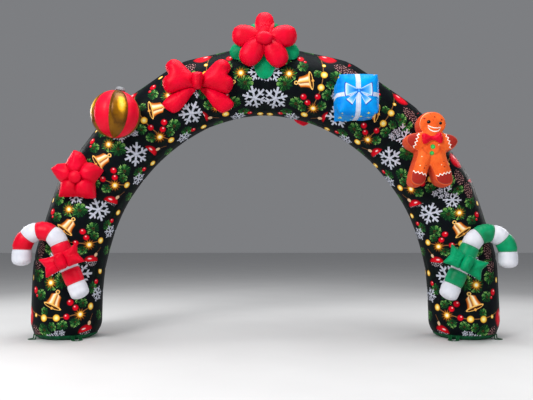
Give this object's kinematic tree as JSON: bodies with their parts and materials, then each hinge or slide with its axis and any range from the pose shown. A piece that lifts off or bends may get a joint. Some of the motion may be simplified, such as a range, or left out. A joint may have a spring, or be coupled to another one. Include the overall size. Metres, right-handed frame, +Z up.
{
  "type": "inflatable arch",
  "caption": "Walk-through inflatable arch of printed cloth with filled festive ornaments sewn on its front.",
  "frame": {"origin": "on the floor, at the middle of the arch's bounding box", "axes": "+X from foot to foot, +Y to the back of the arch, +Z up; the front faces -Y"},
  "size_m": [4.0068, 1.0686, 2.6994],
  "materials": {
    "printed_cloth": "printed polyester oxford, near-black ground with festive motifs",
    "base_cloth": "plain polyester oxford",
    "webbing": "woven webbing",
    "red_cloth": "satin polyester",
    "green_cloth": "satin polyester",
    "cap_cloth": "silver coated cloth",
    "gift_cloth": "printed satin polyester",
    "ginger_cloth": "printed satin polyester"
  },
  "bodies": {
    "root": {"arch_tube": "printed_cloth", "bauble_ball": "red_cloth", "bauble_cap": "cap_cloth", "bow_back_knot": "red_cloth", "bow_back_loop_left": "red_cloth", "bow_back_loop_right": "red_cloth", "bow_back_tail_left": "red_cloth", "bow_back_tail_right": "red_cloth", "bow_front_knot": "red_cloth", "bow_front_loop_left": "red_cloth", "bow_front_loop_right": "red_cloth", "bow_front_tail_left": "red_cloth", "bow_front_tail_right": "red_cloth", "cane_green": "green_cloth", "cane_green_bow_knot": "green_cloth", "cane_green_bow_left": "green_cloth", "cane_green_bow_right": "green_cloth", "cane_red": "red_cloth", "cane_red_bow_knot": "red_cloth", "cane_red_bow_left": "red_cloth", "cane_red_bow_right": "red_cloth", "flower_button": "red_cloth", "flower_leaf_1": "green_cloth", "flower_leaf_2": "green_cloth", "flower_leaf_3": "green_cloth", "flower_leaf_4": "green_cloth", "flower_leaf_5": "green_cloth", "flower_petal_1": "red_cloth", "flower_petal_2": "red_cloth", "flower_petal_3": "red_cloth", "flower_petal_4": "red_cloth", "flower_petal_5": "red_cloth", "foot_base_left": "base_cloth", "foot_base_right": "base_cloth", "gift_box": "gift_cloth", "gingerbread_body": "ginger_cloth", "gingerbread_bow_tie": "red_cloth", "star_button": "red_cloth", "star_cushion": "red_cloth", "tie_loop_1": "webbing", "tie_loop_2": "webbing", "tie_loop_3": "webbing", "tie_loop_4": "webbing"}
  },
  "joints": []
}
